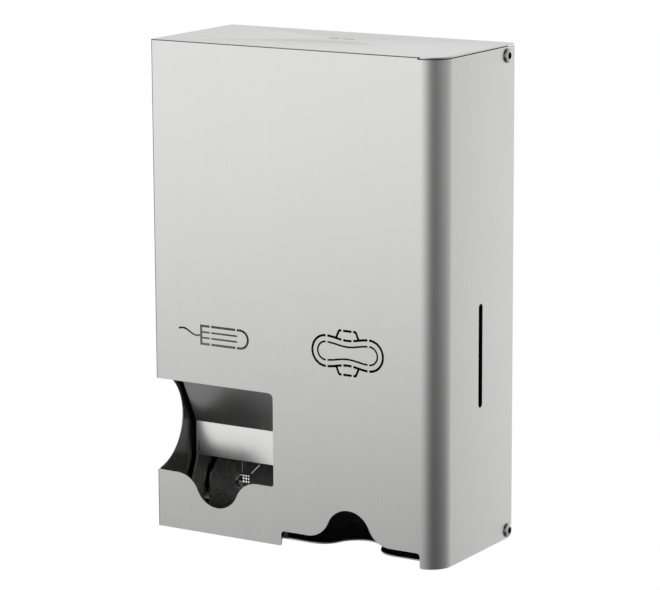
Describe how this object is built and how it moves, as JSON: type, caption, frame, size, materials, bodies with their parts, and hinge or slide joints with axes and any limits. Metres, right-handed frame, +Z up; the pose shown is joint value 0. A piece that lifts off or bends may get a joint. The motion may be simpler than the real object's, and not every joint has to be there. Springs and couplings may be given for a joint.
{
  "type": "tampon and pad dispenser",
  "caption": "Wall-hung sheet-steel box that feeds tampons and folded pads by gravity, with finger cut-outs and a locked cover that swings down to refill.",
  "frame": {"origin": "middle of the back plate's rear face, on the wall", "axes": "+Z up, -Y out of the wall towards the user, +X to the right as the user sees it"},
  "size_m": [0.242, 0.1065, 0.36],
  "materials": {
    "brushed_steel": "brushed up and down",
    "plain_steel": "satin",
    "bright_screw_steel": "polished",
    "spring_steel": "drawn wire",
    "white_nylon": "matt"
  },
  "bodies": {
    "base": {"back_plate": "plain_steel", "bracket_rivet_left": "bright_screw_steel", "bracket_rivet_right": "bright_screw_steel", "divider_plate": "plain_steel", "divider_rivet_high": "bright_screw_steel", "divider_rivet_low": "bright_screw_steel", "guide_rivet_left": "bright_screw_steel", "guide_rivet_right": "bright_screw_steel", "latch_bracket": "plain_steel", "latch_pin": "bright_screw_steel", "latch_spring": "spring_steel", "left_plate_rivet_high": "bright_screw_steel", "left_plate_rivet_low": "bright_screw_steel", "pad_right_plate": "plain_steel", "pad_shelf": "plain_steel", "pivot_nut_left": "bright_screw_steel", "pivot_nut_right": "bright_screw_steel", "pivot_screw_left": "bright_screw_steel", "pivot_screw_right": "bright_screw_steel", "pivot_washer_left": "white_nylon", "pivot_washer_right": "white_nylon", "right_plate_rivet_high": "bright_screw_steel", "right_plate_rivet_low": "bright_screw_steel", "shelf_rivet_left": "bright_screw_steel", "shelf_rivet_right": "bright_screw_steel", "tampon_front_guide": "plain_steel", "tampon_left_plate": "plain_steel", "tampon_tray": "plain_steel", "tray_rivet_left": "bright_screw_steel", "tray_rivet_right": "bright_screw_steel"},
    "cover": {"cover_shell": "brushed_steel", "cover_catch": "plain_steel", "stud_screw_left": "bright_screw_steel", "stud_screw_right": "bright_screw_steel", "stud_nut_left": "bright_screw_steel", "stud_nut_right": "bright_screw_steel"},
    "latch_lever": {"latch_lever": "plain_steel"}
  },
  "joints": [
    {"name": "cover_hinge", "type": "hinge", "parent": "base", "child": "cover", "pos_m": [0, -0.0065, -0.174], "axis": [1, 0, 0], "range_deg": [0, 90]},
    {"name": "latch_hinge", "type": "hinge", "parent": "base", "child": "latch_lever", "pos_m": [0, -0.0145, 0.165], "axis": [1, 0, 0], "range_deg": [0, 13], "stiffness_Nm_per_rad": 0.05, "springref_deg": -22.92, "deforming": ["latch_spring"]}
  ]
}
